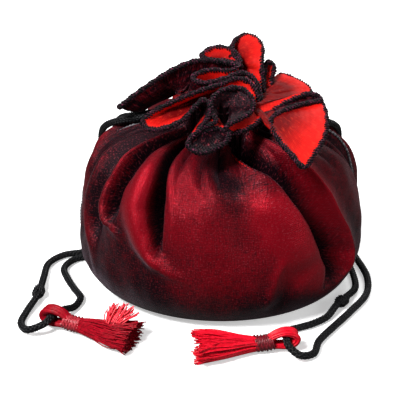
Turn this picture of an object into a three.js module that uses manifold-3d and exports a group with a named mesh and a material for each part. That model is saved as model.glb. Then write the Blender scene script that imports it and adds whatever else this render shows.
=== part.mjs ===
// A drawstring pouch of two fabrics, drawn shut by two cords with a tassel on each.
// Millimetres, +Z up. The origin is the middle of the flat underside; +X is the bag's right, -Y its front.
import * as THREE from 'three';
import { mergeVertices } from 'three/addons/utils/BufferGeometryUtils.js';
import Module from 'manifold-3d';

// ---- Driving dimensions -------------------------------------------------------------------------

// Body, full and resting on its base.
const bodyWidth = 117;
const bodyDepth = 102;
const bellyHeight = 20;
const baseWidth = 82;
const baseDepth = 70;
const shoulderWidth = 98;
const shoulderDepth = 86;
const bodyHeight = 70;
const shoulderHeight = 56;

// Neck: the casing that holds the cords, round the throat. The channel is the room between its two walls.
const throatDiameter = 19;
const channelWidth = 6.2;
const casingHeight = 12;

// Ruffle above the casing.
const ruffleReach = 36;
const ruffleRise = 13;
const petalCount = 5;
const petalSwing = 5.5;
const petalLift = 5;
const backLift = 4;

// Fabric and thread.
const fabric = 0.8;
const seamWidth = 2;
const overlockWidth = 3.2;
const stitchThread = 0.7;

// Cords and what is on them.
const cordDiameter = 3;
const knotWall = 0.8;
const knotLength = 6;

// Tassels.
const tasselLoopThickness = 3.2;
const whippingDiameter = 7.4;
const whippingLength = 8;
const skirtLength = 24;
const skirtEndWidth = 24;
const skirtEndHeight = 11;

// Clearances.
const gap = 0.3;
const cordClearance = 0.8;
const strandClearance = 1.2;
const knotClearance = 0.5;
const floorClearance = 0.15;

// Facets.
const bodySegments = 32;
const ruffleSegments = 50;
const cordSides = 8;

// What follows from them.
const neckDiameter = throatDiameter + 2 * (channelWidth + 2 * fabric);
const cordRingDiameter = throatDiameter + 2 * fabric + channelWidth;
const cordPitch = cordDiameter + cordClearance;
const strandSpacing = cordDiameter + strandClearance;
const sideOpening = strandSpacing + cordDiameter + strandClearance;
const knotDiameter = cordDiameter + 2 * (knotClearance + knotWall);
const tasselLoopDiameter = cordDiameter + 2 * (cordClearance + tasselLoopThickness);

// ---- Materials ----------------------------------------------------------------------------------

const finish = {
  taffeta: new THREE.MeshStandardMaterial({ color: 0x5a0614, roughness: 0.45, metalness: 0 }),
  satin: new THREE.MeshStandardMaterial({ color: 0xe01812, roughness: 0.35, metalness: 0 }),
  overlock: new THREE.MeshStandardMaterial({ color: 0x241018, roughness: 0.8, metalness: 0 }),
  thread: new THREE.MeshStandardMaterial({ color: 0x2a0a12, roughness: 0.7, metalness: 0 }),
  cord: new THREE.MeshStandardMaterial({ color: 0x0d0d10, roughness: 0.75, metalness: 0 }),
  rayon: new THREE.MeshStandardMaterial({ color: 0xcc0a24, roughness: 0.4, metalness: 0 }),
  whipping: new THREE.MeshStandardMaterial({ color: 0x8a0a1c, roughness: 0.5, metalness: 0 }),
};

const bag = new THREE.Group();

function addPiece(name, geometry, material, parent = bag) {
  const mesh = new THREE.Mesh(geometry, material);
  mesh.name = name;
  parent.add(mesh);
  return mesh;
}

// ---- Solids from surfaces -----------------------------------------------------------------------

// The unit normal of a surface(angle, along) that is swept round Z, pointing away from the bag's inside.
function outwardNormal(surface, angle, along) {
  const step = 1e-3;
  const low = Math.max(along - step, 0);
  const high = Math.min(along + step, 1);
  const at = Math.max(along, step);
  const round = surface(angle + step, at).sub(surface(angle - step, at));
  const up = surface(angle, high).sub(surface(angle, low));
  return round.cross(up).normalize();
}

function offsetPoint(surface, angle, along, outward) {
  return surface(angle, along).addScaledVector(outwardNormal(surface, angle, along), outward);
}

// Joins rings of points, each with the same count, into triangles; closed joins the last ring to the first.
// Each four-sided patch is split along its shorter diagonal, so that two skins of one wall bend alike.
function skinRings(rings, closed) {
  const points = rings.flat();
  const positions = points.flatMap((point) => point.toArray());
  const count = rings[0].length;
  const index = [];
  const ringPairs = closed ? rings.length : rings.length - 1;
  for (let ring = 0; ring < ringPairs; ring += 1) {
    const next = (ring + 1) % rings.length;
    for (let k = 0; k < count; k += 1) {
      const a = ring * count + k;
      const b = ring * count + (k + 1) % count;
      const c = next * count + (k + 1) % count;
      const d = next * count + k;
      if (points[a].distanceTo(points[c]) <= points[b].distanceTo(points[d])) {
        index.push(a, b, c, a, c, d);
      } else {
        index.push(a, b, d, b, c, d);
      }
    }
  }
  const geometry = new THREE.BufferGeometry();
  geometry.setAttribute('position', new THREE.Float32BufferAttribute(positions, 3));
  geometry.setIndex(index);
  return geometry;
}

// A wall between two offsets of a surface that is swept round Z. Each ring runs round at one height.
function wall(surface, outside, inside, stops, segments) {
  const ringAt = (along, offset) => Array.from({ length: segments }, (_, k) =>
    offsetPoint(surface, (k / segments) * 2 * Math.PI, along, offset));
  const outer = stops.map((along) => ringAt(along, outside));
  const inner = stops.map((along) => ringAt(along, inside)).reverse();
  return skinRings([...outer, ...inner], true);
}

function evenStops(count) {
  return Array.from({ length: count + 1 }, (_, k) => k / count);
}

// ---- Booleans -----------------------------------------------------------------------------------

const wasm = await Module();
wasm.setup();

function toManifold(geometry) {
  const plain = geometry.clone();
  plain.deleteAttribute('normal');
  plain.deleteAttribute('uv');
  const merged = mergeVertices(plain, 1e-4);
  return new wasm.Manifold(new wasm.Mesh({
    numProp: 3,
    vertProperties: new Float32Array(merged.attributes.position.array),
    triVerts: new Uint32Array(merged.index.array),
  }));
}

function fromManifold(solid) {
  const mesh = solid.getMesh();
  const geometry = new THREE.BufferGeometry();
  geometry.setAttribute('position', new THREE.BufferAttribute(new Float32Array(mesh.vertProperties), 3));
  geometry.setIndex(new THREE.BufferAttribute(new Uint32Array(mesh.triVerts), 1));
  return geometry;
}

// Blocks wide enough to take any piece of the bag, from one Y to another or from one height to another.
const far = 2 * Math.max(bodyWidth, bodyDepth, bodyHeight + casingHeight + ruffleRise);

function slab(fromY, toY) {
  const block = new THREE.BoxGeometry(2 * far, toY - fromY, 2 * far);
  block.translate(0, (fromY + toY) / 2, 0);
  return toManifold(block);
}

function layer(fromZ, toZ) {
  const block = new THREE.BoxGeometry(2 * far, 2 * far, toZ - fromZ);
  block.translate(0, 0, (fromZ + toZ) / 2);
  return toManifold(block);
}

// The front and back halves of a shell, parted at the side seams.
function addHalves(frontName, backName, solid, material, parting) {
  addPiece(frontName, fromManifold(solid.intersect(slab(-far, -parting))), material);
  addPiece(backName, fromManifold(solid.intersect(slab(parting, far))), material);
}

function addSeam(name, solid, material) {
  addPiece(name, fromManifold(solid.intersect(slab(-seamWidth / 2, seamWidth / 2))), material);
}

// ---- Body: two outer panels and two lining panels, each pair sewn in one U-shaped seam -------------

// How far each curve's handles reach: along the base, up the lower side, and up the upper side.
const baseHandle = 0.55;
const lowerHandle = 0.4;
const upperHandle = 0.76;
const shoulderDrop = 1;

// One side of the body's outline, from the middle of the base to the neck, as half width and height.
function bodyOutline(base, belly, shoulder) {
  const neck = neckDiameter / 2;
  const lowerCurve = new THREE.CubicBezierCurve(
    new THREE.Vector2(base, 0),
    new THREE.Vector2(base + (belly - base) * baseHandle, 0),
    new THREE.Vector2(belly, bellyHeight * lowerHandle),
    new THREE.Vector2(belly, bellyHeight),
  );
  const upperCurve = new THREE.CubicBezierCurve(
    new THREE.Vector2(belly, bellyHeight),
    new THREE.Vector2(belly, bellyHeight + (bodyHeight - bellyHeight) * upperHandle),
    new THREE.Vector2(shoulder, bodyHeight - shoulderDrop),
    new THREE.Vector2(neck, bodyHeight),
  );
  return { base, lowerCurve, upperCurve };
}

const widthOutline = bodyOutline(baseWidth / 2, bodyWidth / 2, shoulderWidth / 2);
const depthOutline = bodyOutline(baseDepth / 2, bodyDepth / 2, shoulderDepth / 2);
const baseEnd = 0.2;
const lowerEnd = 0.45;

function outlineAt(outline, along) {
  if (along <= baseEnd) {
    return new THREE.Vector2(outline.base * along / baseEnd, 0);
  }
  if (along <= lowerEnd) {
    return outline.lowerCurve.getPoint((along - baseEnd) / (lowerEnd - baseEnd));
  }
  return outline.upperCurve.getPoint((along - lowerEnd) / (1 - lowerEnd));
}

function bodySurface(angle, along) {
  const wide = outlineAt(widthOutline, along);
  const deep = outlineAt(depthOutline, along);
  return new THREE.Vector3(wide.x * Math.cos(angle), deep.x * Math.sin(angle), wide.y);
}

// A cup: the surface's outer and inner skins, joined at the rim, each ending in the middle of the base.
function cup(surface, outside, inside, stops, segments) {
  const ringAt = (along, offset) => Array.from({ length: segments }, (_, k) =>
    offsetPoint(surface, (k / segments) * 2 * Math.PI, along, offset));
  const pole = (offset) => Array.from({ length: segments }, () => new THREE.Vector3(0, 0, -offset));
  const outer = [pole(outside), ...stops.map((along) => ringAt(along, outside))];
  const inner = [...stops.map((along) => ringAt(along, inside)).reverse(), pole(inside)];
  return withoutSlivers(skinRings([...outer, ...inner], false));
}

// Drops the flat triangles that a ring shrunk to one point leaves behind.
function withoutSlivers(geometry) {
  const merged = mergeVertices(geometry, 1e-4);
  const corners = merged.index.array;
  const kept = [];
  for (let k = 0; k < corners.length; k += 3) {
    const [a, b, c] = [corners[k], corners[k + 1], corners[k + 2]];
    if (a !== b && b !== c && c !== a) {
      kept.push(a, b, c);
    }
  }
  merged.setIndex(kept);
  return merged;
}

const bodyStops = [baseEnd, 0.26, 0.32, 0.38, lowerEnd, 0.53, 0.61, 0.69, 0.77, 0.84, 0.92, 1];
const liningOffset = -(fabric + gap);
const outerShell = toManifold(cup(bodySurface, 0, -fabric, bodyStops, bodySegments));
const liningShell = toManifold(
  cup(bodySurface, liningOffset, liningOffset - fabric, bodyStops, bodySegments),
);
const seamParting = seamWidth / 2 + gap;

// Each outer panel is one cloth, laid out as three bands: under the belly, up the side and over the shoulder.
const outerBands = [
  ['base', -far, bellyHeight],
  ['side', bellyHeight, shoulderHeight],
  ['shoulder', shoulderHeight, far],
];
for (const [band, low, high] of outerBands) {
  const ring = outerShell.intersect(layer(low + gap / 2, high - gap / 2));
  addHalves(`outer_front_${band}`, `outer_back_${band}`, ring, finish.taffeta, seamParting);
}
addSeam('outer_side_seam', outerShell, finish.thread);
addHalves('lining_front_panel', 'lining_back_panel', liningShell, finish.satin, seamParting);
addSeam('lining_side_seam', liningShell, finish.thread);

// ---- Casing: a tunnel round the neck, its outer wall open at both sides ----------------------------

const neckRadius = neckDiameter / 2;
const throatRadius = throatDiameter / 2;
const casingBottom = bodyHeight + gap;
const casingTop = bodyHeight + casingHeight - gap;

function lathe(outline, segments) {
  const points = outline.map(([radius, height]) => new THREE.Vector2(radius, height));
  const geometry = new THREE.LatheGeometry([...points, points[0]], segments);
  return geometry.rotateX(Math.PI / 2);
}

const casingOuter = lathe([
  [neckRadius - fabric, casingBottom],
  [neckRadius, casingBottom],
  [neckRadius, casingTop],
  [neckRadius - fabric, casingTop],
], bodySegments);
addHalves('casing_front', 'casing_back', toManifold(casingOuter), finish.taffeta, sideOpening / 2);

const flangeRadius = neckRadius - fabric - gap;
const casingLining = lathe([
  [throatRadius, casingBottom],
  [flangeRadius, casingBottom],
  [flangeRadius, casingBottom + fabric],
  [throatRadius + fabric, casingBottom + fabric],
  [throatRadius + fabric, casingTop - fabric],
  [flangeRadius, casingTop - fabric],
  [flangeRadius, casingTop],
  [throatRadius, casingTop],
], bodySegments);
addHalves(
  'casing_lining_front',
  'casing_lining_back',
  toManifold(casingLining),
  finish.satin,
  gap / 2,
);

// ---- Casing stitches: one row of thread below the cords and one above ------------------------------

const stitchRadius = neckRadius + gap + stitchThread / 2;
const stitchInset = gap + stitchThread / 2;
const stitchSides = 6;

function stitchRow(name, height) {
  const ring = new THREE.TorusGeometry(stitchRadius, stitchThread / 2, stitchSides, bodySegments);
  ring.translate(0, 0, height);
  addPiece(name, ring, finish.thread);
}

stitchRow('casing_stitch_lower', casingBottom + stitchInset);
stitchRow('casing_stitch_upper', casingTop - stitchInset);

// ---- Ruffle: the two fabrics above the casing, spread in petals, bound by the overlocked edge -------

const ruffleBottom = bodyHeight + casingHeight;
const rufflePartingAtSides = gap / 2;

function ruffleSurface(angle, along) {
  const petal = Math.cos(petalCount * angle) * along * along;
  const reach = neckRadius + (ruffleReach - neckRadius) * along + petalSwing * petal;
  const flare = ruffleRise * Math.sin(along * Math.PI / 2);
  const height = ruffleBottom + flare - petalLift * petal + backLift * Math.sin(angle) * along;
  return new THREE.Vector3(reach * Math.cos(angle), reach * Math.sin(angle), height);
}

const ruffleStops = evenStops(4);
const ruffleOuter = toManifold(wall(ruffleSurface, 0, -fabric, ruffleStops, ruffleSegments));
const ruffleLining = toManifold(
  wall(ruffleSurface, liningOffset, liningOffset - fabric, ruffleStops, ruffleSegments),
);
addHalves('ruffle_outer_front', 'ruffle_outer_back', ruffleOuter, finish.taffeta, rufflePartingAtSides);
addHalves('ruffle_lining_front', 'ruffle_lining_back', ruffleLining, finish.satin, rufflePartingAtSides);

// The overlocked edge is a round bead of thread just past the cut edges of both fabrics.
function rimBead(segments, sides) {
  const radius = overlockWidth / 2;
  const rings = [];
  for (let k = 0; k < segments; k += 1) {
    const angle = (k / segments) * 2 * Math.PI;
    const normal = outwardNormal(ruffleSurface, angle, 1);
    const outward = ruffleSurface(angle, 1).sub(ruffleSurface(angle, 0.99)).normalize();
    const middle = offsetPoint(ruffleSurface, angle, 1, liningOffset + gap / 2);
    middle.addScaledVector(outward, radius + gap);
    rings.push(Array.from({ length: sides }, (_, j) => {
      const turn = (j / sides) * 2 * Math.PI;
      return middle.clone()
        .addScaledVector(outward, radius * Math.cos(turn))
        .addScaledVector(normal, radius * Math.sin(turn));
    }));
  }
  return skinRings(rings, true);
}

const beadSides = 8;
addPiece('rim_overlock', rimBead(ruffleSegments, beadSides), finish.overlock);

// ---- Cords ----------------------------------------------------------------------------------------

function cordSection() {
  const corners = Array.from({ length: cordSides }, (_, k) => {
    const turn = ((k + 0.5) / cordSides) * 2 * Math.PI;
    return new THREE.Vector2(cordDiameter / 2 * Math.cos(turn), cordDiameter / 2 * Math.sin(turn));
  });
  return new THREE.Shape(corners);
}

function smoothCurve(points) {
  return new THREE.CatmullRomCurve3(points, false, 'centripetal');
}

function cordAlong(curve, steps) {
  return new THREE.ExtrudeGeometry(cordSection(), { steps, bevelEnabled: false, extrudePath: curve });
}

const casingMiddle = (casingBottom + casingTop) / 2;
const strandExit = neckRadius - fabric - gap;
const cordEnd = gap / 2;
const ringSteps = 30;

// The stretch inside the casing: once round the neck, with both ends turned out through the side opening.
function cordRing(name, side, height) {
  const radius = cordRingDiameter / 2;
  const openAngle = 0.5;
  const arcCount = 14;
  const end = strandExit - cordEnd;
  const turnOut = cordDiameter / 2;
  const arc = Array.from({ length: arcCount + 1 }, (_, k) => {
    const swing = -openAngle - (2 * Math.PI - 2 * openAngle) * k / arcCount;
    return [radius * Math.cos(swing), radius * Math.sin(swing)];
  });
  const plan = [
    [end, -strandSpacing / 2],
    [end - turnOut, -strandSpacing / 2],
    ...arc,
    [end - turnOut, strandSpacing / 2],
    [end, strandSpacing / 2],
  ];
  const points = plan.map(([x, y]) => new THREE.Vector3(side * x, y, height));
  addPiece(name, cordAlong(smoothCurve(points), ringSteps), finish.cord);
}

const leftCordHeight = casingMiddle - cordPitch / 2;
const rightCordHeight = casingMiddle + cordPitch / 2;
cordRing('left_cord_ring', -1, leftCordHeight);
cordRing('right_cord_ring', 1, rightCordHeight);

// Free stretch of each cord: out of the casing, over the shoulder, down behind the bag, along the floor to
// the tassel, through its loop, and back beside itself to the casing.
const leftCordRoute = [
  [-16.55, -2.1, 74.1], [-22.5, -2.3, 73.6], [-31.5, -1.5, 72.3], [-40.5, 3.5, 69.2], [-47, 12, 64],
  [-50.5, 23, 56], [-51.5, 33, 43], [-51, 39.5, 26], [-51, 42, 11], [-51.5, 38, 2.6],
  [-53, 27, 1.9], [-59.5, 17.6, 1.75], [-68.2, 14.4, 1.75], [-74, 7, 1.75], [-74.8, -6, 1.75],
  [-74.6, -16, 2.95], [-75.4, -25, 2.95], [-78.2, -35, 1.75], [-79, -43, 1.7], [-75.5, -49.8, 2.8],
  [-69.4, -49.4, 4.9], [-66, -43.5, 5.65], [-63.2, -37.2, 4.2], [-59.2, -30.5, 1.8],
  [-57.6, -23, 1.75], [-61, -15.5, 1.75], [-64.6, -7, 1.75], [-67, 2.5, 1.75], [-63.4, 10, 1.75],
  [-56.6, 13.6, 1.75], [-48.5, 24, 1.9], [-46.6, 36, 2.9], [-46.4, 40.8, 10], [-46, 41.6, 27],
  [-46, 37.4, 43.5], [-45, 28, 56.4], [-41.5, 16.5, 65.2], [-35.5, 6.5, 70.2], [-28.5, 2.4, 72.7],
  [-16.55, 2.1, 74.1],
];

const rightCordRoute = [
  [16.55, -2.1, 77.9], [22.5, -2.3, 77], [31.5, -1.5, 74], [40.5, 3.5, 69.2], [47, 12, 64],
  [50.5, 23, 56], [51.5, 33, 43], [51, 39.5, 26], [51, 42, 11], [52.5, 36, 2.6], [57, 22, 1.9],
  [60.4, 8, 1.75], [62.2, -6, 1.75], [60, -20, 1.75], [51.6, -34.3, 1.75], [42.2, -48, 1.75],
  [36.8, -56.5, 1.75], [34, -65, 1.8], [28.6, -68.4, 3.2], [24.6, -65, 5.1], [24, -60, 5.65],
  [23.8, -54, 4.4], [27, -48, 1.8], [35, -44, 1.75], [41.8, -38.4, 1.75], [46.2, -31.6, 2.95],
  [51.4, -24.2, 2.95], [56, -15, 1.75], [56.6, -3, 1.75], [55.2, 8, 1.75], [51.5, 21, 1.9],
  [46.6, 35, 2.9], [46.4, 40.8, 10], [46, 41.6, 27], [46, 37.4, 43.5], [45, 28, 56.4],
  [41.5, 16.5, 65.2], [35.5, 6.5, 71], [28.5, 2.4, 75], [16.55, 2.1, 77.9],
];

const freeCordSteps = 64;

function routeCurve(route) {
  return smoothCurve(route.map(([x, y, z]) => new THREE.Vector3(x, y, z)));
}

addPiece('left_drawcord', cordAlong(routeCurve(leftCordRoute), freeCordSteps), finish.cord);
addPiece('right_drawcord', cordAlong(routeCurve(rightCordRoute), freeCordSteps), finish.cord);

const knotSides = 12;

// The knot that joins the two ends of a cord, as a barrel round it with its ends rounded off.
function knot(name, from, to) {
  const hole = cordDiameter / 2 + knotClearance;
  const outside = knotDiameter / 2;
  const rounded = (hole + outside) / 2;
  const barrel = new THREE.LatheGeometry([
    new THREE.Vector2(hole, -knotLength / 2),
    new THREE.Vector2(rounded, -knotLength / 2),
    new THREE.Vector2(outside, -knotLength / 6),
    new THREE.Vector2(outside, knotLength / 6),
    new THREE.Vector2(rounded, knotLength / 2),
    new THREE.Vector2(hole, knotLength / 2),
    new THREE.Vector2(hole, -knotLength / 2),
  ], knotSides);
  const start = new THREE.Vector3(...from);
  const end = new THREE.Vector3(...to);
  const piece = addPiece(name, barrel, finish.cord);
  piece.position.copy(start).lerp(end, 0.5);
  piece.position.z = knotDiameter / 2 + floorClearance;
  piece.quaternion.setFromUnitVectors(new THREE.Vector3(0, 1, 0), end.sub(start).setZ(0).normalize());
}

knot('left_cord_knot', leftCordRoute[15], leftCordRoute[16]);
knot('right_cord_knot', rightCordRoute[25], rightCordRoute[26]);

// ---- Tassels --------------------------------------------------------------------------------------

// A closed body of oval rows along +X, lying on the floor; a row is [distance, half width, half height].
function layBundle(rows, sides) {
  const ringOf = ([distance, halfWidth, halfHeight]) => Array.from({ length: sides }, (_, k) => {
    const turn = (k / sides) * 2 * Math.PI;
    const height = halfHeight * (1 + Math.sin(turn)) + floorClearance;
    return new THREE.Vector3(distance, halfWidth * Math.cos(turn), height);
  });
  const first = rows[0];
  const last = rows[rows.length - 1];
  const rings = [ringOf([first[0], 0, 0]), ...rows.map(ringOf), ringOf([last[0], 0, 0])];
  rings[0].forEach((point) => point.setZ(first[2] + floorClearance));
  rings[rings.length - 1].forEach((point) => point.setZ(last[2] + floorClearance));
  return withoutSlivers(skinRings(rings, false));
}

const tasselSides = 16;
const loopSides = 8;
const loopSteps = 20;
const waistShare = 0.88;
const leftHeading = -24;
const rightHeading = 188;

// How the skirt opens: the share of its length, and of its end width and height, that each row has reached.
const skirtNearRow = { along: 0.25, wide: 0.62, high: 0.81 };
const skirtFarRow = { along: 0.65, wide: 0.84, high: 0.96 };

function tassel(side, loopMiddle, heading) {
  const group = new THREE.Group();
  group.position.set(loopMiddle[0], loopMiddle[1], 0);
  group.rotation.z = heading;
  bag.add(group);

  const section = tasselLoopThickness / 2;
  const loop = new THREE.TorusGeometry(tasselLoopDiameter / 2 - section, section, loopSides, loopSteps);
  loop.rotateX(Math.PI / 2);
  loop.translate(0, 0, tasselLoopDiameter / 2 + floorClearance);
  addPiece(`${side}_tassel_loop`, loop, finish.rayon, group);

  const whippingStart = tasselLoopDiameter / 2 + gap;
  const whippingEnd = whippingStart + whippingLength;
  const whippingRadius = whippingDiameter / 2;
  const waist = whippingRadius * waistShare;
  addPiece(`${side}_tassel_whipping`, layBundle([
    [whippingStart, waist, waist],
    [whippingStart + whippingLength / 4, whippingRadius, whippingRadius],
    [whippingEnd - whippingLength / 4, whippingRadius, whippingRadius],
    [whippingEnd, waist, waist],
  ], tasselSides), finish.whipping, group);

  const skirtStart = whippingEnd + gap;
  const skirtRow = ({ along, wide, high }) => (
    [skirtStart + skirtLength * along, skirtEndWidth / 2 * wide, skirtEndHeight / 2 * high]
  );
  addPiece(`${side}_tassel_skirt`, layBundle([
    [skirtStart, waist, waist],
    skirtRow(skirtNearRow),
    skirtRow(skirtFarRow),
    [skirtStart + skirtLength, skirtEndWidth / 2, skirtEndHeight / 2],
  ], tasselSides), finish.rayon, group);
}

tassel('left', leftCordRoute[21], THREE.MathUtils.degToRad(leftHeading));
tassel('right', rightCordRoute[20], THREE.MathUtils.degToRad(rightHeading));

export default bag;
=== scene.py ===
# A drawstring dice pouch: shot taffeta lined with satin, drawn shut by two cords with a tassel on each.
# Metres, +Z up. The origin is the middle of the flat underside; +X is the bag's right and -Y its front.
import math
import random

import bpy
import numpy as np
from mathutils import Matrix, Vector, noise


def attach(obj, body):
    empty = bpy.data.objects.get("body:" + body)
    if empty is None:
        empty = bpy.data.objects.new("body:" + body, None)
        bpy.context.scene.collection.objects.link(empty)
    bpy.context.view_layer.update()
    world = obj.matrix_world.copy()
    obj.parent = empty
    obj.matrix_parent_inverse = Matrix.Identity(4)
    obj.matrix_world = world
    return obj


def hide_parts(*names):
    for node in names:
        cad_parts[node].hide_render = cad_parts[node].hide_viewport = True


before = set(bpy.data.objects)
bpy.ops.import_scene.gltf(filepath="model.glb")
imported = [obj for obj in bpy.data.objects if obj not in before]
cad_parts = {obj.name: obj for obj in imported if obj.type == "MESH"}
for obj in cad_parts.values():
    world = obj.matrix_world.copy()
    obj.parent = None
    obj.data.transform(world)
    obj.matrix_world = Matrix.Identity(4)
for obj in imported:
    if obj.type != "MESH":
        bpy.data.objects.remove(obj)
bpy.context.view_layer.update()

joined = bpy.context.scene.collection.objects.link

# ---- Camera --------------------------------------------------------------------------------------
# A long lens a little above the bag, square to its front.
camera_place = Vector((-0.00858, -0.4188, 0.2303))
camera_aim = Vector((-0.00858, 0.01342, 0.02878))
lens = bpy.data.cameras.new("camera")
lens.lens = 100
lens.sensor_width = 36
camera = bpy.data.objects.new("camera", lens)
camera.location = camera_place
camera.rotation_euler = (camera_aim - camera_place).to_track_quat("-Z", "Y").to_euler()
joined(camera)
bpy.context.scene.camera = camera
bpy.context.scene.view_settings.view_transform = "Standard"

# ---- Floor and light -----------------------------------------------------------------------------
# A plain white sweep, lit by one large soft light from the front left, a weaker one on the right,
# and one above and behind that catches the edges.
floor_reach = 3.0
floor_mesh = bpy.data.meshes.new("floor")
floor_mesh.from_pydata(
    [(-floor_reach, -floor_reach, 0), (floor_reach, -floor_reach, 0),
     (floor_reach, floor_reach, 0), (-floor_reach, floor_reach, 0)], [], [(0, 1, 2, 3)])
floor = bpy.data.objects.new("floor", floor_mesh)
joined(floor)
floor_paint = bpy.data.materials.new("floor_white")
floor_paint.use_nodes = True
floor_nodes = floor_paint.node_tree.nodes
floor_wire = floor_paint.node_tree.links.new
floor_shader = floor_nodes["Principled BSDF"]
# It looks white, and throws back less light than white would, as a sweep that is lit apart does.
floor_returns = (0.14, 0.14, 0.14, 1)
floor_white = (0.95, 0.95, 0.955, 1)
floor_glow_share = 0.45
floor_seen = floor_nodes.new("ShaderNodeMix")
floor_seen.data_type = "RGBA"
floor_seen.inputs["A"].default_value = floor_returns
floor_seen.inputs["B"].default_value = floor_white
seen_by = floor_nodes.new("ShaderNodeLightPath")
floor_wire(seen_by.outputs["Is Camera Ray"], floor_seen.inputs["Factor"])
floor_wire(floor_seen.outputs["Result"], floor_shader.inputs["Base Color"])
floor_glow = floor_nodes.new("ShaderNodeMath")
floor_glow.operation = "MULTIPLY"
floor_glow.inputs[1].default_value = floor_glow_share
floor_wire(seen_by.outputs["Is Camera Ray"], floor_glow.inputs[0])
floor_wire(floor_glow.outputs[0], floor_shader.inputs["Emission Strength"])
floor_shader.inputs["Emission Color"].default_value = (1, 1, 1, 1)
floor_shader.inputs["Roughness"].default_value = 0.8
floor_mesh.materials.append(floor_paint)


def soft_light(name, place, width, watts):
    """A square light aimed at the bag's middle."""
    data = bpy.data.lights.new(name, "AREA")
    data.size = width
    data.energy = watts
    lamp = bpy.data.objects.new(name, data)
    lamp.location = place
    lamp.rotation_euler = (Vector((0, 0, 0.05)) - Vector(place)).to_track_quat("-Z", "Y").to_euler()
    joined(lamp)


soft_light("key_light", (-0.50, -0.50, 0.85), 0.30, 22)
soft_light("fill_light", (0.9, -0.5, 0.45), 0.5, 4)
soft_light("edge_light", (0.35, 0.8, 0.9), 0.5, 9)

sky = bpy.data.worlds.new("studio")
sky.use_nodes = True
sky.node_tree.nodes["Background"].inputs["Color"].default_value = (1, 1, 1, 1)
sky.node_tree.nodes["Background"].inputs["Strength"].default_value = 0.13
bpy.context.scene.world = sky

# ---- Drawcords -----------------------------------------------------------------------------------
# Two black braided cords, 3 mm thick. Each comes out of the slit at one side of the neck, lies over the
# shoulder and down behind the bag, runs along the floor to its tassel and comes back beside itself.
left_route = [
    (-0.01655, -0.0021, 0.0741), (-0.0225, -0.0023, 0.0736), (-0.0315, -0.0015, 0.0723),
    (-0.0405, 0.0035, 0.0692), (-0.047, 0.012, 0.064), (-0.0505, 0.023, 0.056), (-0.0515, 0.033, 0.043),
    (-0.051, 0.0395, 0.026), (-0.051, 0.042, 0.011), (-0.0515, 0.038, 0.0026), (-0.053, 0.027, 0.0019),
    (-0.0595, 0.0176, 0.00175), (-0.0682, 0.0144, 0.00175), (-0.074, 0.007, 0.00175),
    (-0.0748, -0.006, 0.00175), (-0.0746, -0.016, 0.00295), (-0.0754, -0.025, 0.00295),
    (-0.0782, -0.035, 0.00175), (-0.079, -0.043, 0.0017), (-0.0755, -0.0498, 0.0028),
    (-0.0694, -0.0494, 0.0049), (-0.066, -0.0435, 0.00565), (-0.0632, -0.0372, 0.0042),
    (-0.0592, -0.0305, 0.0018), (-0.0576, -0.023, 0.00175), (-0.061, -0.0155, 0.00175),
    (-0.0646, -0.007, 0.00175), (-0.067, 0.0025, 0.00175), (-0.0634, 0.010, 0.00175),
    (-0.0566, 0.0136, 0.00175), (-0.0485, 0.024, 0.0019), (-0.0466, 0.036, 0.0029),
    (-0.0464, 0.0408, 0.010), (-0.046, 0.0416, 0.027), (-0.046, 0.0374, 0.0435), (-0.045, 0.028, 0.0564),
    (-0.0415, 0.0165, 0.0652), (-0.0355, 0.0065, 0.0702), (-0.0285, 0.0024, 0.0727),
    (-0.01655, 0.0021, 0.0741),
]
right_route = [
    (0.01655, -0.0021, 0.0779), (0.0225, -0.0023, 0.077), (0.0315, -0.0015, 0.074),
    (0.0405, 0.0035, 0.0692), (0.047, 0.012, 0.064), (0.0505, 0.023, 0.056), (0.0515, 0.033, 0.043),
    (0.051, 0.0395, 0.026), (0.051, 0.042, 0.011), (0.0525, 0.036, 0.0026), (0.057, 0.022, 0.0019),
    (0.0604, 0.008, 0.00175), (0.0622, -0.006, 0.00175), (0.060, -0.020, 0.00175),
    (0.0516, -0.0343, 0.00175), (0.0422, -0.048, 0.00175), (0.0368, -0.0565, 0.00175),
    (0.034, -0.065, 0.0018), (0.0286, -0.0684, 0.0032), (0.0246, -0.065, 0.0051),
    (0.024, -0.060, 0.00565), (0.0238, -0.054, 0.0044), (0.027, -0.048, 0.0018),
    (0.035, -0.044, 0.00175), (0.0418, -0.0384, 0.00175), (0.0462, -0.0316, 0.00295),
    (0.0514, -0.0242, 0.00295), (0.056, -0.015, 0.00175), (0.0566, -0.003, 0.00175),
    (0.0552, 0.008, 0.00175), (0.0515, 0.021, 0.0019), (0.0466, 0.035, 0.0029), (0.0464, 0.0408, 0.010),
    (0.046, 0.0416, 0.027), (0.046, 0.0374, 0.0435), (0.045, 0.028, 0.0564), (0.0415, 0.0165, 0.0652),
    (0.0355, 0.0065, 0.071), (0.0285, 0.0024, 0.075), (0.01655, 0.0021, 0.0779),
]


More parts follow.
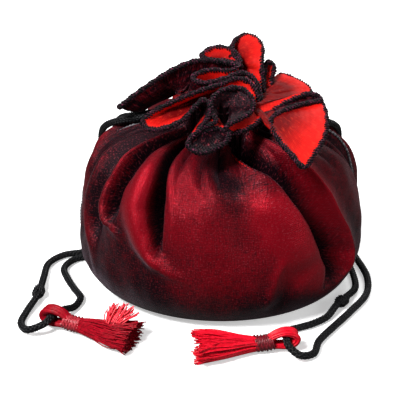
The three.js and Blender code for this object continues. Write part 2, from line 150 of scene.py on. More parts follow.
def smooth_line(points, spacing, closed=False):
    """Points an even distance apart on a centripetal Catmull-Rom curve through the given ones."""
    given = [np.array(p, float) for p in points]
    count = len(given)
    if closed:
        around = [given[-1], *given, given[0], given[1]]
    else:
        around = [2 * given[0] - given[1], *given, 2 * given[-1] - given[-2]]
    fine = []
    for i in range(count if closed else count - 1):
        a, b, c, d = around[i:i + 4]
        t1 = math.sqrt(np.linalg.norm(b - a))
        t2 = t1 + math.sqrt(np.linalg.norm(c - b))
        t3 = t2 + math.sqrt(np.linalg.norm(d - c))
        for t in np.linspace(t1, t2, 24, endpoint=False):
            ab = (t1 - t) / t1 * a + t / t1 * b
            bc = (t2 - t) / (t2 - t1) * b + (t - t1) / (t2 - t1) * c
            cd = (t3 - t) / (t3 - t2) * c + (t - t2) / (t3 - t2) * d
            abc = (t2 - t) / t2 * ab + t / t2 * bc
            bcd = (t3 - t) / (t3 - t1) * bc + (t - t1) / (t3 - t1) * cd
            fine.append((t2 - t) / (t2 - t1) * abc + (t - t1) / (t2 - t1) * bcd)
    fine.append(given[0] if closed else given[-1])
    fine = np.array(fine)
    along = np.concatenate([[0], np.cumsum(np.linalg.norm(np.diff(fine, axis=0), axis=1))])
    steps = max(2, round(along[-1] / spacing))
    even = np.linspace(0, along[-1], steps + 1)
    if closed:
        even = even[:-1]
    return np.stack([np.interp(even, along, fine[:, k]) for k in range(3)], axis=1)


def line_length(points):
    return float(np.linalg.norm(np.diff(points, axis=0), axis=1).sum())


def maths_in(nodes, wire):
    """A maker of math nodes in one tree: numbers are set on the node, and anything else is wired to it."""
    def maths(operation, *values):
        node = nodes.new("ShaderNodeMath")
        node.operation = operation
        for k, value in enumerate(values):
            if isinstance(value, (int, float)):
                node.inputs[k].default_value = value
            else:
                wire(value, node.inputs[k])
        return node.outputs[0]

    return maths


def end_tree(nodes, wire, geometry, given):
    """The end of a tree: real and smooth geometry with the given finish."""
    real = nodes.new("GeometryNodeRealizeInstances")
    wire(geometry, real.inputs[0])
    finish = nodes.new("GeometryNodeSetMaterial")
    wire(real.outputs[0], finish.inputs["Geometry"])
    wire(given.outputs["Finish"], finish.inputs["Material"])
    smooth = nodes.new("GeometryNodeSetShadeSmooth")
    wire(finish.outputs[0], smooth.inputs["Geometry"])
    put_out = nodes.new("NodeGroupOutput")
    wire(smooth.outputs[0], put_out.inputs[0])


def wound_tree(name):
    """Geometry Nodes: strands laid round a line, twisted or plaited, and a core inside them."""
    tree = bpy.data.node_groups.new(name, "GeometryNodeTree")
    socket = tree.interface.new_socket
    socket("Line", in_out="INPUT", socket_type="NodeSocketGeometry")
    for label, kind in (
        ("Strands", "NodeSocketInt"), ("Turns", "NodeSocketFloat"), ("Lay radius", "NodeSocketFloat"),
        ("Weave height", "NodeSocketFloat"), ("Weave waves", "NodeSocketFloat"),
        ("Strand radius", "NodeSocketFloat"), ("Strand sides", "NodeSocketInt"),
        ("Second set", "NodeSocketBool"), ("Core radius", "NodeSocketFloat"),
        ("Finish", "NodeSocketMaterial"),
    ):
        socket(label, in_out="INPUT", socket_type=kind)
    socket("Piece", in_out="OUTPUT", socket_type="NodeSocketGeometry")
    nodes, wire = tree.nodes, tree.links.new
    given = nodes.new("NodeGroupInput")
    maths = maths_in(nodes, wire)

    def vectors(operation, first, second):
        node = nodes.new("ShaderNodeVectorMath")
        node.operation = operation
        wire(first, node.inputs[0])
        wire(second, node.inputs["Scale"] if operation == "SCALE" else node.inputs[1])
        return node.outputs[0]

    line = nodes.new("GeometryNodeMeshToCurve")
    wire(given.outputs["Line"], line.inputs[0])
    tangent = nodes.new("GeometryNodeInputTangent").outputs[0]
    normal = nodes.new("GeometryNodeInputNormal").outputs[0]
    share = nodes.new("GeometryNodeSplineParameter").outputs["Factor"]
    across = vectors("CROSS_PRODUCT", tangent, normal)

    joined_up = nodes.new("GeometryNodeJoinGeometry")
    ring = nodes.new("GeometryNodeCurvePrimitiveCircle")
    wire(given.outputs["Strand radius"], ring.inputs["Radius"])
    wire(given.outputs["Strand sides"], ring.inputs["Resolution"])

    def lay(way):
        copies = nodes.new("GeometryNodeDuplicateElements")
        copies.domain = "SPLINE"
        wire(line.outputs[0], copies.inputs["Geometry"])
        wire(given.outputs["Strands"], copies.inputs["Amount"])
        keep = nodes.new("GeometryNodeCaptureAttribute")
        keep.domain = "CURVE"
        keep.capture_items.new("INT", "Strand")
        wire(copies.outputs["Geometry"], keep.inputs["Geometry"])
        wire(copies.outputs["Duplicate Index"], keep.inputs["Strand"])
        start = maths("DIVIDE", maths("MULTIPLY", keep.outputs["Strand"], math.tau),
                      given.outputs["Strands"])
        turned = maths("MULTIPLY", maths("MULTIPLY", share, given.outputs["Turns"]), way * math.tau)
        angle = maths("ADD", start, turned)
        wave = maths("COSINE", maths("MULTIPLY", maths("MULTIPLY", share, given.outputs["Weave waves"]),
                                     math.tau))
        rise = maths("MULTIPLY", maths("MULTIPLY", wave, given.outputs["Weave height"]), way)
        out = maths("ADD", given.outputs["Lay radius"], rise)
        shift = vectors("ADD",
                        vectors("SCALE", normal, maths("MULTIPLY", out, maths("COSINE", angle))),
                        vectors("SCALE", across, maths("MULTIPLY", out, maths("SINE", angle))))
        move = nodes.new("GeometryNodeSetPosition")
        wire(keep.outputs["Geometry"], move.inputs["Geometry"])
        wire(shift, move.inputs["Offset"])
        tube = nodes.new("GeometryNodeCurveToMesh")
        tube.inputs["Fill Caps"].default_value = True
        wire(move.outputs[0], tube.inputs["Curve"])
        wire(ring.outputs["Curve"], tube.inputs["Profile Curve"])
        return tube.outputs[0]

    wire(lay(1), joined_up.inputs[0])
    second = nodes.new("GeometryNodeSwitch")
    second.input_type = "GEOMETRY"
    wire(given.outputs["Second set"], second.inputs["Switch"])
    wire(lay(-1), second.inputs["True"])
    wire(second.outputs[0], joined_up.inputs[0])
    core_ring = nodes.new("GeometryNodeCurvePrimitiveCircle")
    core_ring.inputs["Resolution"].default_value = 8
    wire(given.outputs["Core radius"], core_ring.inputs["Radius"])
    core = nodes.new("GeometryNodeCurveToMesh")
    core.inputs["Fill Caps"].default_value = True
    wire(line.outputs[0], core.inputs["Curve"])
    wire(core_ring.outputs["Curve"], core.inputs["Profile Curve"])
    wire(core.outputs[0], joined_up.inputs[0])

    end_tree(nodes, wire, joined_up.outputs[0], given)
    return tree


wound = wound_tree("wound_strands")


def with_tree(name, source, tree, values):
    """Runs a tree on an object's mesh and gives the result back as one plain mesh object."""
    modifier = source.modifiers.new(tree.name, "NODES")
    modifier.node_group = tree
    sockets = {s.name: s.identifier for s in tree.interface.items_tree if s.in_out == "INPUT"}
    for label, value in values.items():
        modifier[sockets[label]] = value
    bpy.context.view_layer.update()
    held = source.evaluated_get(bpy.context.evaluated_depsgraph_get())
    mesh = bpy.data.meshes.new_from_object(held)
    mesh.name = name
    bpy.data.objects.remove(source)
    piece = bpy.data.objects.new(name, mesh)
    joined(piece)
    return piece


def wind(name, points, finish, closed=False, **values):
    """Strands round a line of points, by the tree of that name."""
    mesh = bpy.data.meshes.new(name + "_line")
    count = len(points)
    edges = [(i, (i + 1) % count) for i in range(count if closed else count - 1)]
    mesh.from_pydata([tuple(p) for p in points], edges, [])
    source = bpy.data.objects.new(name + "_line", mesh)
    joined(source)
    labels = {"strands": "Strands", "turns": "Turns", "lay": "Lay radius", "weave": "Weave height",
              "waves": "Weave waves", "radius": "Strand radius", "sides": "Strand sides",
              "second": "Second set", "core": "Core radius"}
    inputs = {"Weave height": 0.0, "Weave waves": 0.0, "Second set": False, "Finish": finish}
    inputs.update({labels[key]: value for key, value in values.items()})
    return with_tree(name, source, wound, inputs)


def new_material(name):
    """A material with its principled shader, and a maker of nodes in it."""
    material = bpy.data.materials.new(name)
    material.use_nodes = True
    nodes = material.node_tree.nodes
    return material, nodes["Principled BSDF"], nodes.new, material.node_tree.links.new


def fibre_group():
    """Shader nodes: fine threads with light and dark ones among them, and their height."""
    group = bpy.data.node_groups.new("fibre_tone", "ShaderNodeTree")
    socket = group.interface.new_socket
    for label in ("Dark", "Light"):
        socket(label, in_out="INPUT", socket_type="NodeSocketColor")
    for label in ("Scale", "Contrast", "Low", "High"):
        socket(label, in_out="INPUT", socket_type="NodeSocketFloat")
    socket("Color", in_out="OUTPUT", socket_type="NodeSocketColor")
    socket("Height", in_out="OUTPUT", socket_type="NodeSocketFloat")
    nodes, wire = group.nodes, group.links.new
    given = nodes.new("NodeGroupInput")
    place = nodes.new("ShaderNodeTexCoord")
    speckle = nodes.new("ShaderNodeTexNoise")
    speckle.inputs["Detail"].default_value = 4
    wire(place.outputs["Object"], speckle.inputs["Vector"])
    wire(given.outputs["Scale"], speckle.inputs["Scale"])
    spread = nodes.new("ShaderNodeMapRange")
    wire(speckle.outputs[0], spread.inputs["Value"])
    wire(given.outputs["Low"], spread.inputs["From Min"])
    wire(given.outputs["High"], spread.inputs["From Max"])
    strength = nodes.new("ShaderNodeMath")
    strength.operation = "MULTIPLY"
    wire(spread.outputs["Result"], strength.inputs[0])
    wire(given.outputs["Contrast"], strength.inputs[1])
    mix = nodes.new("ShaderNodeMix")
    mix.data_type = "RGBA"
    wire(strength.outputs[0], mix.inputs["Factor"])
    wire(given.outputs["Dark"], mix.inputs["A"])
    wire(given.outputs["Light"], mix.inputs["B"])
    put_out = nodes.new("NodeGroupOutput")
    wire(mix.outputs["Result"], put_out.inputs["Color"])
    wire(spread.outputs["Result"], put_out.inputs["Height"])
    return group


fibre_tone = fibre_group()


def thread_finish(name, dark, light, scale, contrast, roughness, sheen, specular=0.4, depth=0.00006,
                  spread=(0.35, 0.68)):
    """Thread or cord: two tones of fibre, a fine bump and a soft sheen."""
    material, shader, make, wire = new_material(name)
    tone = make("ShaderNodeGroup")
    tone.node_tree = fibre_tone
    tone.inputs["Dark"].default_value = (*dark, 1)
    tone.inputs["Light"].default_value = (*light, 1)
    tone.inputs["Scale"].default_value = scale
    tone.inputs["Contrast"].default_value = contrast
    tone.inputs["Low"].default_value, tone.inputs["High"].default_value = spread
    wire(tone.outputs["Color"], shader.inputs["Base Color"])
    bump = make("ShaderNodeBump")
    bump.inputs["Strength"].default_value = 0.5
    bump.inputs["Distance"].default_value = depth
    wire(tone.outputs["Height"], bump.inputs["Height"])
    wire(bump.outputs[0], shader.inputs["Normal"])
    shader.inputs["Roughness"].default_value = roughness
    shader.inputs["Sheen Weight"].default_value = sheen
    shader.inputs["Sheen Roughness"].default_value = 0.4
    shader.inputs["Specular IOR Level"].default_value = specular
    return material


black_braid = thread_finish("black_braid", (0.0006, 0.0006, 0.0009), (0.006, 0.006, 0.008), 2600, 0.8,
                            0.42, 0.01, 0.2)

braid_strands = 5
braid_turn = 0.0085
braid_step = 0.0003
knot_turns = 2.25
knot_reach = 0.00135
knot_long = 0.0042
knot_steps = 48


def braided_cord(name, points):
    """A round plait: as many strands one way as the other, each over one and under the next."""
    turns = line_length(points) / braid_turn
    return wind(name, points, black_braid, strands=braid_strands, turns=turns, lay=0.00105,
                weave=0.00015, waves=turns * braid_strands, radius=0.00036, sides=5, second=True,
                core=0.00088)


cords = {}
for side, route, knot_from in (("left", left_route, 15), ("right", right_route, 25)):
    line = smooth_line(route, braid_step)
    cord = braided_cord(f"{side}_cord_braid", line)
    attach(cord, f"{side}_cord")
    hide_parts(f"{side}_drawcord")

    # The knot that joins the cord's two ends, as tight turns round the cord.
    near, far = Vector(route[knot_from]), Vector(route[knot_from + 1])
    run = (far - near).normalized()
    up = Vector((0, 0, 1))
    aside = run.cross(up)
    middle = (near + far) / 2
    turn_points = []
    for k in range(knot_steps + 1):
        angle = k / knot_steps * knot_turns * math.tau
        centre = middle + run * (k / knot_steps - 0.5) * knot_long
        turn_points.append(centre + aside * knot_reach * math.cos(angle) + up * knot_reach * math.sin(angle))
    knot = wind(f"{side}_cord_knot_turns", smooth_line(turn_points, 0.00025), black_braid,
                strands=5, turns=5.0, lay=0.0009, radius=0.0004, sides=5, core=0.0008)
    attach(knot, f"{side}_cord")
    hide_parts(f"{side}_cord_knot")
    cords[side] = (cord, line, knot)

# The part of each cord inside the casing: it goes once round the throat, and its two ends stand out a
# little way through the slit, inside the braid of the free part.
ring_radius = 0.0134
ring_steps = 32
slit_at, slit_half = 0.0165, 0.0022
stub_end, stub_drop = 0.0285, 0.0012
for side, way, height in (("left", -1, 0.0741), ("right", 1, 0.0779)):
    ring = []
    for k in range(ring_steps + 1):
        angle = math.radians(12 + k / ring_steps * 336)
        ring.append((way * ring_radius * math.cos(angle), ring_radius * math.sin(angle), height))
    ring = [(way * stub_end, 0.0023, height - stub_drop), (way * slit_at, slit_half, height), *ring,
            (way * slit_at, -slit_half, height), (way * stub_end, -slit_half, height - stub_drop)]
    inner = wind(f"{side}_cord_in_casing", smooth_line(ring, 0.0006), black_braid,
                 strands=6, turns=9.0, lay=0.0007, radius=0.0004, sides=5, core=0.0007)
    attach(inner, "bag")
    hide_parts(f"{side}_cord_ring")

# ---- Tassels -------------------------------------------------------------------------------------
# Red rayon thread: a bundle doubled round the cord, bound with a wound thread, and cut off as a skirt
# that lies open on the floor. The left one is darker, with a bright tuft sticking up near its end.
crimson_rayon = thread_finish("crimson_rayon", (0.18, 0.0006, 0.005), (0.40, 0.002, 0.014), 900, 0.8,
                              0.40, 0.0, 0.16)
bright_rayon = thread_finish("bright_rayon", (0.50, 0.001, 0.010), (0.80, 0.008, 0.030), 900, 0.8,
                             0.38, 0.0, 0.22)
tuft_rayon = thread_finish("tuft_rayon", (0.72, 0.014, 0.035), (0.90, 0.08, 0.10), 900, 0.8, 0.35, 0.05, 0.4)
binding_thread = thread_finish("binding_thread", (0.20, 0.001, 0.006), (0.55, 0.05, 0.07), 1400, 0.9,
                               0.4, 0.04)
maroon_thread = thread_finish("maroon_thread", (0.07, 0.0006, 0.004), (0.22, 0.005, 0.014), 1400, 0.9,
                              0.45, 0.04)


def fringe_tree():
    """Geometry Nodes: every loose line in a mesh becomes a thread."""
    tree = bpy.data.node_groups.new("fringe_threads", "GeometryNodeTree")
    socket = tree.interface.new_socket
    for label, kind in (("Lines", "NodeSocketGeometry"), ("Thread radius", "NodeSocketFloat"),
                        ("Thread sides", "NodeSocketInt"), ("Finish", "NodeSocketMaterial")):
        socket(label, in_out="INPUT", socket_type=kind)
    socket("Piece", in_out="OUTPUT", socket_type="NodeSocketGeometry")
    nodes, wire = tree.nodes, tree.links.new
    given = nodes.new("NodeGroupInput")
    lines = nodes.new("GeometryNodeMeshToCurve")
    wire(given.outputs["Lines"], lines.inputs[0])
    ring = nodes.new("GeometryNodeCurvePrimitiveCircle")
    wire(given.outputs["Thread radius"], ring.inputs["Radius"])
    wire(given.outputs["Thread sides"], ring.inputs["Resolution"])
    tube = nodes.new("GeometryNodeCurveToMesh")
    tube.inputs["Fill Caps"].default_value = True
    wire(lines.outputs[0], tube.inputs["Curve"])
    wire(ring.outputs["Curve"], tube.inputs["Profile Curve"])
    end_tree(nodes, wire, tube.outputs[0], given)
    return tree


fringe = fringe_tree()


def fringe_piece(name, threads, finish, radius, sides=4):
    """Threads along the given lists of points."""
    mesh = bpy.data.meshes.new(name + "_lines")
    corners, edges = [], []
    for thread in threads:
        first = len(corners)
        corners += [tuple(p) for p in thread]
        edges += [(first + k, first + k + 1) for k in range(len(thread) - 1)]
    mesh.from_pydata(corners, edges, [])
    source = bpy.data.objects.new(name + "_lines", mesh)
    joined(source)
    return with_tree(name, source, fringe,
                     {"Thread radius": radius, "Thread sides": sides, "Finish": finish})


tassel_waist = 0.0029
binding_start, binding_end = 0.0062, 0.0112
skirt_end = 0.0372
floor_lift = 0.00035
skirt_threads, lock_count = 560, 26
doubled_threads, tuft_threads = 150, 90
short_share, short_by = 0.05, 0.004


def tassel(side, middle, heading, skirt_finish, bind_finish, seed, spread, hollow, tufted):
    draw = random.Random(seed)
    body = f"{side}_tassel"
    ahead = Vector((math.cos(heading), math.sin(heading), 0))
    aside = Vector((-ahead.y, ahead.x, 0))
    base = Vector((middle[0], middle[1], 0))

    def place(along, across, height):
        return base + ahead * along + aside * across + Vector((0, 0, max(height, floor_lift)))

    # The doubled end of the bundle, round the cord: threads side by side, fullest over the cord.
    doubled = []
    for k in range(doubled_threads):
        aside_share = draw.uniform(-1, 1)
        depth = draw.uniform(0, 1) * (1 - 0.35 * aside_share ** 2)
        top, foot = 0.0076 + 0.0021 * depth, 0.0034 - 0.0019 * depth
        front = -0.0022 - 0.0022 * depth - 0.0015 * aside_share ** 2
        shape = [(0.0088, 0.0050), (0.0058, top - 0.0018), (0.0030, top - 0.0005), (0.0004, top),
                 (front * 0.7, top - 0.0009), (front, 0.00565), (front * 0.7, foot + 0.0008), (0.0004, foot),
                 (0.0030, foot + 0.0002), (0.0058, foot + 0.0004), (0.0088, 0.0036)]
        swell = 0.0024 - 0.0003 * draw.random()
        thread = [place(along, aside_share * (swell - 0.09 * max(along, 0)), height)
                  for along, height in shape]
        doubled.append(smooth_line(thread, 0.0008))
    loop_piece = fringe_piece(f"{side}_tassel_loop_threads", doubled, skirt_finish, 0.00034, 5)

    # The binding: one thread wound round the bundle, turn against turn, over a waisted core.
    waist_line = [place(binding_start - 0.0012 + k / 30 * (binding_end - binding_start + 0.0022), 0,
                        0.0040 + 0.0006 * max(0.0, 1 - k / 12)) for k in range(31)]
    bind_piece = wind(f"{side}_tassel_binding", smooth_line(waist_line, 0.00012), bind_finish,
                      strands=1, turns=11.0, lay=0.0030, radius=0.00042, sides=6, core=0.0029)

    # The skirt: the threads leave the binding in locks, open sideways, sink to the floor and wave a
    # little. Those inside are cut shorter, so that the end is hollow.
    threads = []
    locks = [(draw.uniform(0, math.tau), draw.uniform(0, math.tau), draw.uniform(0.0003, 0.0010))
             for _ in range(lock_count)]
    for k in range(skirt_threads):
        lock_turn, wave, sway = locks[k % lock_count]
        turn = lock_turn + draw.gauss(0, 0.22)
        depth = math.sqrt(draw.uniform(0.02, 1))
        root_across = tassel_waist * 0.9 * depth * math.cos(turn)
        root_height = 0.0038 + tassel_waist * 0.9 * depth * math.sin(turn)
        end_across = spread * (depth * math.cos(turn) + draw.uniform(-0.14, 0.14))
        end_height = 0.0045 + 0.0046 * depth * math.sin(turn) + draw.uniform(-0.0006, 0.0006)
        reach = skirt_end - draw.uniform(0, 0.0014) - hollow * (1 - depth) ** 0.6
        reach -= short_by if draw.random() < short_share else 0
        wave += draw.uniform(-0.5, 0.5)
        points = []
        for j in range(12):
            t = j / 11
            along = binding_end - 0.0008 + t * (reach - binding_end)
            opened = t ** 1.25
            across = root_across + (end_across - root_across) * opened
            height = root_height + (end_height - root_height) * t ** 0.8
            across += sway * math.sin(wave + t * 7) * t + 0.0007 * math.sin(t * 5 + lock_turn) * t
            height += sway * 0.6 * math.cos(wave * 2 + t * 6) * t
            points.append(place(along, across, height))
        threads.append(points)
    skirt = fringe_piece(f"{side}_tassel_skirt_threads", threads, skirt_finish, 0.00025)
    pieces = [(loop_piece, "tassel_loop", "rayon"), (bind_piece, "tassel_whipping", "whipping"),
              (skirt, "tassel_skirt", "rayon")]
    for piece, node, slot in pieces:
        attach(piece, body)
        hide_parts(f"{side}_{node}")
    made = [piece for piece, _, _ in pieces]
    if tufted:
        threads = []
        for k in range(tuft_threads):
            lean = draw.uniform(-1, 1)
            start = place(0.0255 + draw.uniform(-0.0022, 0.0022), draw.uniform(-0.002, 0.003), 0.006)
            end = place(0.0285 + lean * 0.0062 + draw.uniform(-0.001, 0.001),
                        0.0045 + draw.uniform(-0.0015, 0.0025), 0.0145 - abs(lean) * 0.0022
                        + draw.uniform(-0.0016, 0.0008))
            points = []
            for j in range(9):
                t = j / 8
                bulge = math.sin(t * math.pi) * 0.0009
                point = start.lerp(end, t) + ahead * lean * bulge
                point += Vector((0, 0, bulge * 0.4)) + aside * math.sin(t * 5 + k) * 0.00022
                points.append(point)
            threads.append(points)
        tuft = fringe_piece(f"{side}_tassel_tuft", threads, tuft_rayon, 0.00024)
        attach(tuft, body)
        made.append(tuft)
    return made


left_tassel = tassel("left", left_route[21], math.radians(-24), crimson_rayon, binding_thread, 11,
                     0.0098, 0.003, True)
right_tassel = tassel("right", right_route[20], math.radians(188), bright_rayon, maroon_thread, 12,
                      0.0094, 0.007, False)
for side, tassel_pieces, exit_point in (("left", left_tassel, left_route[0]),
                                        ("right", right_tassel, right_route[0])):
    cord, line, knot = cords[side]

# ---- Outer cloth: shape --------------------------------------------------------------------------
# The bag is two panels of shot taffeta, sewn down both sides and under the base. One surface is worked
# out for both: a full body in deep folds, the gathered neck, and the ruffle above it, which is the same
# cloth let loose. Heights in the tables are millimetres and angles degrees from the front, right plus.
body_half = (0.0585, 0.051)
base_half = (0.041, 0.035)
shoulder_half = (0.049, 0.043)
belly_height, body_height = 0.020, 0.070
neck_half = 0.0173
columns = 600
turn = np.linspace(-180, 180, columns, endpoint=False)


def bezier(points, t):
    a, b, c, d = (np.array(p)[None, :] for p in points)
    t = t[:, None]
    return (1 - t) ** 3 * a + 3 * (1 - t) ** 2 * t * b + 3 * (1 - t) * t ** 2 * c + t ** 3 * d


def outline(axis):
    """Half width and height from the middle of the base up to the neck, along one axis."""
    base, belly, shoulder = base_half[axis], body_half[axis], shoulder_half[axis]
    flat = np.stack([base * np.linspace(0.02, 1, 14), np.zeros(14)], axis=1)
    lower = bezier([(base, 0), (base + (belly - base) * 0.55, 0), (belly, belly_height * 0.4),
                    (belly, belly_height)], np.linspace(0, 1, 27)[1:])
    upper = bezier([(belly, belly_height), (belly, belly_height + 0.038), (shoulder, body_height - 0.001),
                    (neck_half, body_height)], np.linspace(0, 1, 71)[1:])
    return np.concatenate([flat, lower, upper])


width_line, depth_line = outline(0), outline(1)
height = width_line[:, 1]
height_mm = height[:, None] * 1000
rows = len(height)


def at_height(table):
    """The angle that a fold's line has at every row, from a table of (angle, height)."""
    steps = sorted(table, key=lambda pair: pair[1])
    return np.interp(height_mm, [h for _, h in steps], [a for a, _ in steps])


def ease(low, high, value):
    t = np.clip((value - low) / (high - low), 0, 1)
    return t * t * (3 - 2 * t)


def around(angle):
    """Degrees from a fold's line to every column, the short way round."""
    return (turn[None, :] - angle + 180) % 360 - 180


def ridge(table, rise, width, low, high, soft=8):
    """A rounded fold standing out along a line, between two heights."""
    reach = ease(low - soft, low + soft, height_mm) * (1 - ease(high - soft, high + soft, height_mm))
    return rise * reach * np.exp(-(around(at_height(table)) / width) ** 2)


def pocket(left, right, depth, low, high, steep=0.22, floor_share=0.12, soft=7):
    """A hollow that drops away sharply from the line on one side and rises slowly to the other."""
    start, end = at_height(left), at_height(right)
    across = around(start) / np.maximum(end - start, 1.0)
    shape = ease(0, steep, across) * (1 - ease(steep + floor_share, 1.0, across))
    reach = ease(low - soft, low + soft, height_mm) * (1 - ease(high - 2, high + 2, height_mm))
    return -depth * reach * shape


out = np.zeros((rows, columns))
slide = np.zeros((rows, columns))

# The big fold at the front right: a sharp flap edge, a deep hollow behind it, then a crease.
flap = [(9, 70), (13, 66), (17, 63), (20, 57), (23.5, 51), (27.5, 44), (31, 35), (35, 27), (41, 17), (46, 10)]
crease = [(36, 70), (42, 65), (45, 61), (50, 53), (54, 44), (59, 35), (63, 25), (62, 17), (55, 11)]
deepest = 0.0225
out += pocket(flap, crease, deepest, 17, 74, steep=0.12, floor_share=0.3)
out += ridge([(a - 3, h) for a, h in flap], 0.0016, 5, 20, 66)
out += ridge(crease, 0.0022, 2.6, 14, 66)
out -= ridge([(a + 9, h) for a, h in crease], 0.0022, 6, 24, 64)
slide += ridge([(a - 0.5, h) for a, h in flap], 6.5, 4.0, 18, 66)
slide -= ridge([(a + 1.5, h) for a, h in crease], 2.4, 3.2, 18, 60)

# The deep pleat left of the middle, and the bright ridge that hooks round its foot.
pleat_left = [(-40, 70), (-36, 66), (-34, 60), (-33.5, 52), (-32, 44), (-30, 38), (-27, 33)]
pleat_right = [(-31, 70), (-26, 62), (-23, 55), (-22.5, 46), (-23, 38), (-22, 33)]
hook = [(-43, 69), (-38.5, 64), (-38, 58), (-38, 50), (-35, 42), (-31, 35), (-26, 30), (-19, 26), (-12, 22)]
out += pocket(pleat_left, pleat_right, 0.0105, 37, 72, steep=0.35, soft=5)
out += ridge(hook, 0.0042, 4.6, 27, 66, soft=6)
out += ridge([(-22, 62), (-20, 50), (-19, 40)], 0.0012, 3, 38, 64)
slide += ridge([(a + 2, h) for a, h in hook], 2.6, 4, 34, 66)

# The small hook-shaped fold on the left, and the two beyond it.
small_left = [(-54, 66), (-53, 60), (-54, 54), (-54, 47), (-52, 41)]
small_right = [(-43, 66), (-43, 60), (-44, 54), (-44, 47), (-46, 41)]
out += pocket(small_left, small_right, 0.0058, 43, 70, steep=0.4, soft=4)
out += ridge([(-53, 66), (-55.5, 54), (-56, 47), (-52, 40), (-44, 38)], 0.0026, 3.2, 38, 66, soft=4)
out += ridge([(-72, 67), (-67, 58), (-68, 46), (-67, 34), (-62, 25)], 0.0024, 4.2, 22, 64)
out -= ridge([(-62, 67), (-60, 56), (-61, 46), (-60, 34)], 0.0032, 4, 30, 66)
out -= ridge([(-80, 67), (-78, 56), (-78, 44), (-76, 32)], 0.0026, 4.4, 28, 66)

# Broad soft swellings of the front, and a short crease low on the right.
out += ridge([(-10, 62), (-8, 45), (-6, 30)], 0.0014, 13, 20, 60)
out -= ridge([(6, 66), (6, 52), (8, 36)], 0.0018, 7, 34, 66)
out -= ridge([(0, 72), (3, 64), (6, 58)], 0.0040, 12, 61, 76, soft=6)
out += ridge([(14, 58), (22, 46), (26, 34)], 0.0016, 7, 24, 58)
out += ridge([(24, 34), (20, 24), (17, 12)], 0.0010, 1.8, 12, 30, soft=4)
out -= ridge([(30, 30), (27, 20), (22, 10)], 0.0012, 4, 8, 28, soft=4)

# Long loose folds on the sides and back.
for angle, drift, drop, foot in ((84, 6, 0.0040, 26), (104, -5, 0.0052, 36), (122, 4, 0.0038, 22),
                                 (141, -4, 0.0066, 40), (163, 3, 0.0048, 28), (-176, -5, 0.0054, 38),
                                 (-152, 5, 0.0062, 30), (-131, -4, 0.0042, 42), (-108, 5, 0.0060, 30),
                                 (-93, -2, 0.0030, 40)):
    valley = [(angle, 68), (angle + drift * 0.5, 50), (angle + drift, 30)]
    out -= ridge(valley, drop, 4.6, foot, 68, soft=9)
    out += ridge([(a + 6.5, h) for a, h in valley], drop * 0.45, 4, foot + 3, 66, soft=9)
    slide += ridge([(a + 4.5, h) for a, h in valley], 1.8, 3.5, foot + 6, 66)

# Gathers: rounded pleats that grow towards the neck. A row of uneven widths, the same all the way up.
gather = random.Random(5)
gather_count = 31
widths = np.array([gather.uniform(0.55, 1.5) for _ in range(gather_count)])
edges = np.concatenate([[0], np.cumsum(widths)]) / widths.sum() * 360 - 180
strength = np.array([gather.uniform(0.5, 1.0) for _ in range(gather_count)])


def gathers(angle):
    """From 0 in the creases between pleats to about 1 on their backs."""
    angle = (angle + 180) % 360 - 180
    place = np.clip(np.searchsorted(edges, angle, side="right") - 1, 0, gather_count - 1)
    inside = (angle - edges[place]) / (edges[place + 1] - edges[place])
    return strength[place] * np.abs(np.sin(np.pi * inside)) ** 0.8


shoulder_share = ease(46, 70, height_mm) ** 1.6
swirl = -9 * (1 - ease(40, 70, height_mm))
out += 0.0036 * shoulder_share * (gathers(turn[None, :] + swirl) - 0.55)

# Small creases of a crisp cloth: noise drawn out along the height.
rough = np.zeros((rows, columns))
fine = np.zeros((rows, columns))
for j in range(rows):
    for k in range(columns):
        a = math.radians(turn[k])
        x, y = math.sin(a), math.cos(a)
        rough[j, k] = noise.noise(Vector((x * 3.4, y * 3.4, height[j] * 42)))
        fine[j, k] = noise.noise(Vector((x * 11, y * 11, height[j] * 120 + 7)))
lifted = ease(2, 16, height_mm)
out += lifted * (0.0011 * rough + 0.0004 * fine)
out = np.clip(out, -deepest, 0.0062)

# Painted shade: more of the black threads in the hollows, under the ruffle, round the sides and towards the
# base, plus some random tone.
broad = out.copy()
for _ in range(3):
    broad = sum(np.roll(broad, k, axis=1) for k in range(-16, 17)) / 33
sides = ease(46, 72, np.abs(turn))[None, :] * (1 - 0.35 * ease(95, 150, np.abs(turn))[None, :])
body_tone_and_painted_shading = (0.16 + 0.62 * (1 - ease(3, 24, height_mm)) + 0.42 * sides
             + 0.45 * np.exp(-((turn[None, :] - 6) / 26) ** 2) * ease(54, 68, height_mm)
             + 0.25 * ease(58, 70, height_mm) + np.clip((broad - out) / 0.007, -0.5, 0.9)
             + 0.35 * rough)
# Painted shade in the hollow behind the flap edge.
body_tone_and_painted_shading += np.clip(-pocket(flap, crease, 1.0, 17, 74, steep=0.05, floor_share=0.1), 0, 1) * 0.55
# Painted highlights: lighter along the crease, along the hook and beside the flap edge.
body_tone_and_painted_shading -= ridge(crease, 0.35, 3, 14, 64) + ridge(hook, 0.25, 4, 27, 66)
body_tone_and_painted_shading -= ridge([(a - 6, h) for a, h in flap], 0.28, 5, 38, 55, soft=5)
# Painted shade and painted highlights in broad patches: (angle, height, how wide, how tall, how much darker).
for angle, level, wide, tall, darker in (
    (-58, 38, 18, 34, 0.38), (-45, 67, 22, 6, 0.40), (-33, 23, 11, 14, 0.34), (-2, 18, 34, 7, 0.16),
    (-19, 55, 5, 9, 0.10), (-9, 46, 7, 9, -0.14), (8, 62, 15, 7, 0.38), (31, 64, 11, 9, 0.34),
    (8, 53, 9, 5, 0.12), (56, 34, 6, 16, 0.25), (43, 13, 9, 6, -0.22), (14, 58, 9, 6, 0.32),
    (36, 58, 8, 9, 0.32), (23, 46, 6, 7, -0.30), (-14, 42, 5, 10, -0.10),
):
    body_tone_and_painted_shading += darker * np.exp(-(around(angle) / wide) ** 2 - ((height_mm - level) / tall) ** 2)

